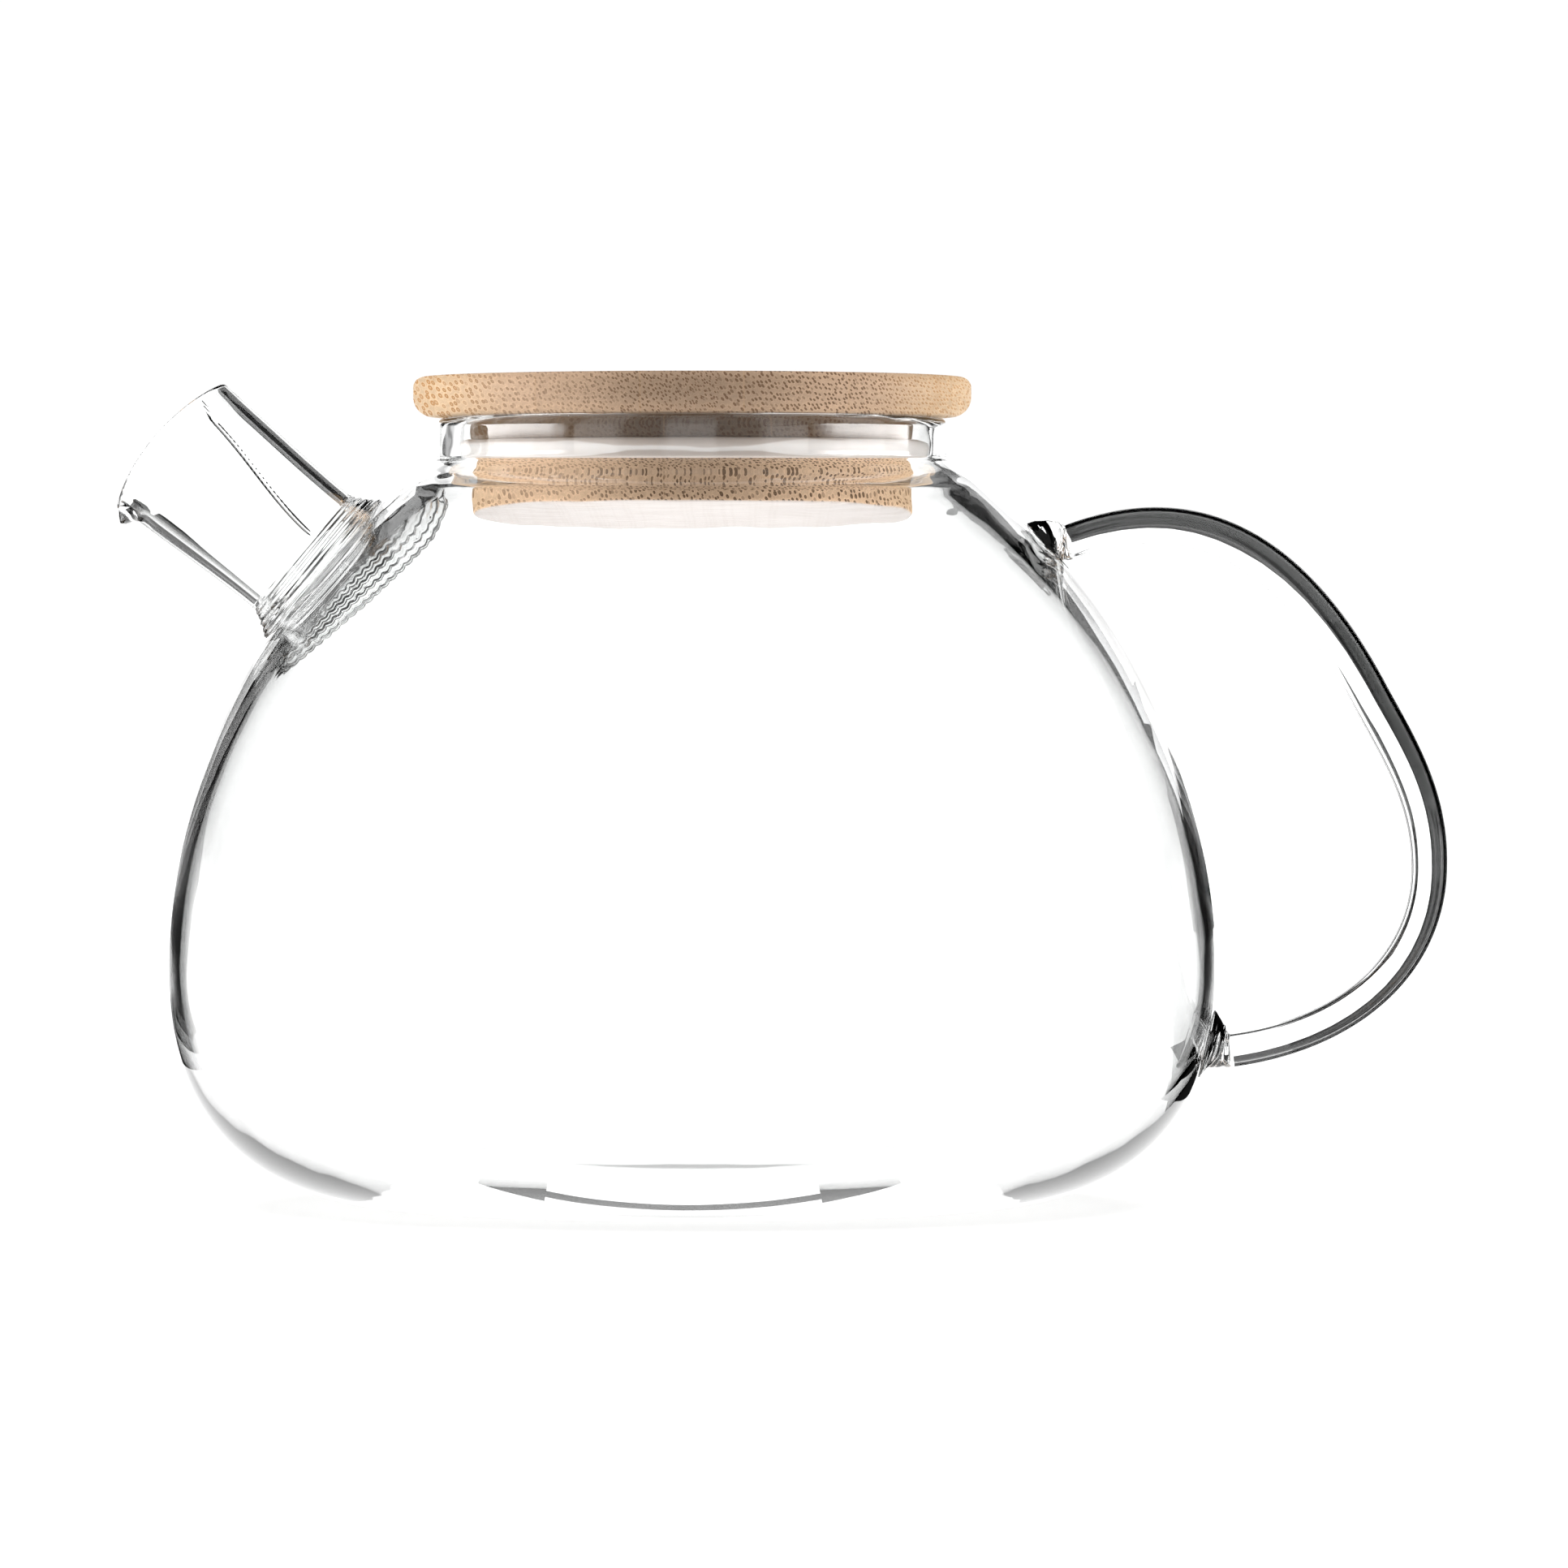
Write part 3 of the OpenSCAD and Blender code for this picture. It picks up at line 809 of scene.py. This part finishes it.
# ---------------------------------------------------------------- floor
bpy.ops.mesh.primitive_plane_add(size=1)
floor = bpy.context.object
floor.name = "floor"
floor.scale = (60, 60, 1)
floor.location = (0, 0, -0.0002)
fm, k = material("floor_paper")
out = k.add("ShaderNodeOutputMaterial")
p = k.add("ShaderNodeBsdfPrincipled")
p.inputs["Base Color"].default_value = (0.93, 0.93, 0.93, 1)
p.inputs["Roughness"].default_value = 0.9
p.inputs["Specular IOR Level"].default_value = 0.0
k.put(out.inputs["Surface"], p.outputs[0])
floor.data.materials.append(fm)
floor.visible_transmission = False
floor.visible_glossy = False
floor.visible_shadow = False


# ---------------------------------------------------------------- light
def area(name, at, to, size, power, size_y=None):
    d = bpy.data.lights.new(name, "AREA")
    d.energy = power
    d.shape = "RECTANGLE"
    d.size = size
    d.size_y = size_y or size
    o = bpy.data.objects.new(name, d)
    o.location = at
    o.rotation_mode = "QUATERNION"
    o.rotation_quaternion = (Vector(to) - Vector(at)).to_track_quat("-Z", "Y")
    bpy.context.scene.collection.objects.link(o)
    o.visible_camera = False
    o.visible_glossy = False
    o.visible_transmission = False
    return o


area("side_left", (-1.5, -0.25, 0.35), (0, 0, 0.09), 0.9, 26, 1.2)
area("side_right", (1.5, -0.25, 0.35), (0, 0, 0.09), 0.9, 23, 1.2)
sun_d = bpy.data.lights.new("overhead", "SUN")
sun_d.energy = 3.55
sun_d.angle = math.radians(70)
sun = bpy.data.objects.new("overhead", sun_d)
bpy.context.scene.collection.objects.link(sun)
sun.visible_glossy = False
sun.visible_transmission = False


def glow(name, corners, strength, one_sided=False):
    """A plain white studio surface that only light through or off the glass sees."""
    me = bpy.data.meshes.new(name)
    me.from_pydata(corners, [], [tuple(range(len(corners)))])
    o = bpy.data.objects.new(name, me)
    bpy.context.scene.collection.objects.link(o)
    gm, gk = material(name)
    go = gk.add("ShaderNodeOutputMaterial")
    ge = gk.add("ShaderNodeEmission")
    ge.inputs["Strength"].default_value = strength
    gk.put(go.inputs["Surface"], ge.outputs[0])
    me.materials.append(gm)
    gm.cycles.emission_sampling = "NONE"
    if one_sided:  # clear from behind: its normal is made to point forward, and light from the far side passes it
        area2 = sum(a[0] * b[2] - b[0] * a[2] for a, b in zip(corners, corners[1:] + corners[:1]))
        if area2 < 0:
            me.flip_normals()
        clear, both = gk.add("ShaderNodeBsdfTransparent"), gk.add("ShaderNodeMixShader")
        gk.put(both.inputs[0], gk.add("ShaderNodeNewGeometry").outputs["Backfacing"])
        gk.put(both.inputs[1], ge.outputs[0])
        gk.put(both.inputs[2], clear.outputs[0])
        gk.put(go.inputs["Surface"], both.outputs[0])
    o.visible_camera = o.visible_diffuse = o.visible_shadow = False
    return o


# a white card cut a little larger than the teapot's outline stands behind it
GLOW = 1.5
CARD_Y = 0.285
EYE = np.array([14.8, 92.6])
CARD_K = (1650 + CARD_Y * 1000) / 1650


def cast(q, margin=0.0, n=(0, 0)):
    q = EYE + (np.array(q, float) - EYE) * CARD_K
    return q + np.array(n) * margin


card = [(-140, -8), (-150, 22), (-138, 60), (-158, 92), (-150, 170), (-100, 266), (-19, 199), (10, 176), (60, 176),
        (120, 196), (170, 182), (205, 140), (205, 96), (150, 70), (143, 58), (150, 30), (150, -8)]
glow("back_card", [(x * MM, CARD_Y, z * MM) for x, z in card], GLOW)

# a black flag close behind the handle, along its outer side
FLAG_Y = 0.010
CARD_K = (1650 + FLAG_Y * 1000) / 1650
near, far = [], []
for i in range(0, 241, 6):
    n_ = np.array([-dirs[i][1], dirs[i][0]])
    edge = pts[i] + n_ * (R0 + swell[i])
    near.append(cast(edge, np.interp(i, [0, 12, 40, 75, 120, 160, 200, 240], [-3.14, -3.5, -3.98, -2.79, -2.44, -2.31, -1.33, -0.9]), n_))
    far.append(cast(edge, 16.0, n_))
strip = near + far[::-1]
glow("black_flag_small", [(x * MM, 0.05, z * MM) for x, z in ((91.5, 44), (110, 43), (111, 60), (107, 72), (95, 80), (90.5, 72), (90.5, 55))], 0.0, True)
glow("black_flag", [(x * MM, FLAG_Y, z * MM) for x, z in strip], 0.0, True)
# the mat is slit under the pot's front edge, and the slit is wider in two places
X0, X1, X2, X3 = -0.0345, -0.0230, 0.0210, 0.0345
glow("white_mat", [(x, y, -0.0001) for x, y in (
    (-0.135, -0.0540), (X0, -0.0540), (X0, -0.0525), (X1, -0.0525), (X1, -0.0540), (X2, -0.0540), (X2, -0.0525),
    (X3, -0.0525), (X3, -0.0540), (0.106, -0.0540), (0.106, 0.29), (-0.135, 0.29))], GLOW)
mat_front = glow("white_mat_front", [(x, y, -0.0001) for x, y in (
    (-0.135, -0.12), (0.106, -0.12), (0.106, -0.0562), (X3, -0.0562), (X3, -0.062), (X2, -0.062), (X2, -0.0562),
    (X1, -0.0562), (X1, -0.062), (X0, -0.062), (X0, -0.0562), (-0.135, -0.0562))], GLOW)
mat_front.visible_glossy = False
# a shade under the right softbox hides it from the handle
glow("shade", [(0.128, -0.2, 0.111), (0.30, -0.2, 0.111), (0.30, 0.15, 0.111), (0.128, 0.15, 0.111)], 0.0)

# two softboxes beside the lid, seen only as reflections in the neck
for name, sx in (("softbox_left", -1), ("softbox_right", 1)):
    o = glow(name, [(sx * 0.30, 0.127, 0.112), (sx * 0.20, -0.17, 0.112), (sx * 0.20, -0.17, 0.16), (sx * 0.30, 0.127, 0.16)], 4.2)
    o.visible_transmission = False
    nt = Nodes(o.data.materials[0].node_tree)
    sp_ = nt.add("ShaderNodeSeparateXYZ")
    nt.put(sp_.inputs[0], nt.add("ShaderNodeTexCoord").outputs["Object"])
    wob = nt.math("MULTIPLY", nt.math("SUBTRACT", nt.noise(nt.n["Texture Coordinate"].outputs["Object"], 40.0, 1.0), 0.5), 0.05)
    yy = nt.math("ADD", sp_.outputs[1], wob)
    f_ = nt.math("MULTIPLY", nt.range(yy, -0.165, -0.10, 0.0, 1.0), nt.range(yy, 0.07, 0.12, 1.0, 0.0))
    f_ = nt.math("MULTIPLY", f_, nt.range(sp_.outputs[2], 0.1195, 0.1235, 0.25, 0.55))
    f_ = nt.math("MULTIPLY", f_, nt.range(sp_.outputs[2], 0.1265, 0.1290, 1.0, 6.0))
    nt.put(nt.n["Emission"].inputs["Strength"], nt.math("MULTIPLY", f_, 4.2))

# light bounced up from below the table level, onto the plug's underside
up = area("bounce", (0, 0, -0.35), (0, 0, 0), 0.5, 2.6)

# ---------------------------------------------------------------- world
# Camera rays see plain white. Light that has gone through the glass sees a white
# panel behind the object, only a little larger than the object, and dark surroundings.
world = bpy.data.worlds.new("studio")
bpy.context.scene.world = world
world.use_nodes = True
world.node_tree.nodes.clear()
k = Nodes(world.node_tree)
wo = k.add("ShaderNodeOutputWorld")
tc = k.add("ShaderNodeTexCoord").outputs["Generated"]
sep = k.add("ShaderNodeSeparateXYZ")
k.put(sep.inputs[0], tc)
dx, dy, dz = sep.outputs
az = k.math("MULTIPLY", k.math("ARCTAN2", dx, dy), 180 / math.pi)
el = k.math("MULTIPLY", k.math("ARCSINE", dz), 180 / math.pi)


lp = k.add("ShaderNodeLightPath")
# the camera's side of the room is white, the far side is dark
lum = k.math("ADD", k.math("MULTIPLY", k.range(k.math("ABSOLUTE", az), 78.0, 108.0, 0.0, 1.0), 0.33), 0.015)
# tall white panels stand far off all round, one every 45 degrees, and one lies below; the
# card does this work straight behind the pot. Dark gaps between them draw the glass's edges.
ring = k.range(k.math("PINGPONG", az, 22.5), 9.0, 14.0, 1.0, 0.0)
ring = k.math("MULTIPLY", ring, k.range(k.math("ABSOLUTE", az), 24.0, 30.0, 0.0, 1.0))
ring = k.math("MULTIPLY", ring, k.range(el, 3.0, 8.0, 1.0, 0.0))
below = k.range(el, -66.0, -60.0, 1.0, 0.0)
lum = k.math("MAXIMUM", lum, k.math("MULTIPLY", k.math("MAXIMUM", ring, below), 1.35))
lum = k.math("MULTIPLY", lum, k.math("SUBTRACT", 1.0, lp.outputs["Is Diffuse Ray"]))
lum = k.math("ADD", lum, k.math("MULTIPLY", lp.outputs["Is Diffuse Ray"], 0.12))
bright = k.add("ShaderNodeBackground")
k.put(bright.inputs["Strength"], lum)
bright.inputs["Color"].default_value = (1, 1, 1, 1)
white = k.add("ShaderNodeBackground")
white.inputs["Color"].default_value = (1, 1, 1, 1)
white.inputs["Strength"].default_value = 1.02
mx = k.add("ShaderNodeMixShader")
k.put(mx.inputs[0], lp.outputs["Is Camera Ray"])
k.put(mx.inputs[1], bright.outputs[0])
k.put(mx.inputs[2], white.outputs[0])
k.put(wo.inputs["Surface"], mx.outputs[0])

# ---------------------------------------------------------------- camera
cam_d = bpy.data.cameras.new("camera")
cam = bpy.data.objects.new("camera", cam_d)
bpy.context.scene.collection.objects.link(cam)
cam.location = (0.0148, -1.65, 0.0926)
cam_d.sensor_width = 36
cam_d.lens = 234.7
cam_d.clip_start = 0.05
cam_d.clip_end = 200
cam.rotation_mode = "QUATERNION"
cam.rotation_quaternion = (Vector((0.0148, 0, 0.0679)) - Vector(cam.location)).to_track_quat("-Z", "Y")
bpy.context.scene.camera = cam

sc = bpy.context.scene
sc.view_settings.view_transform = "Standard"
sc.view_settings.look = "None"
sc.cycles.max_bounces = 40
sc.cycles.transmission_bounces = 40
sc.cycles.transparent_max_bounces = 40
sc.cycles.glossy_bounces = 16
sc.cycles.diffuse_bounces = 4
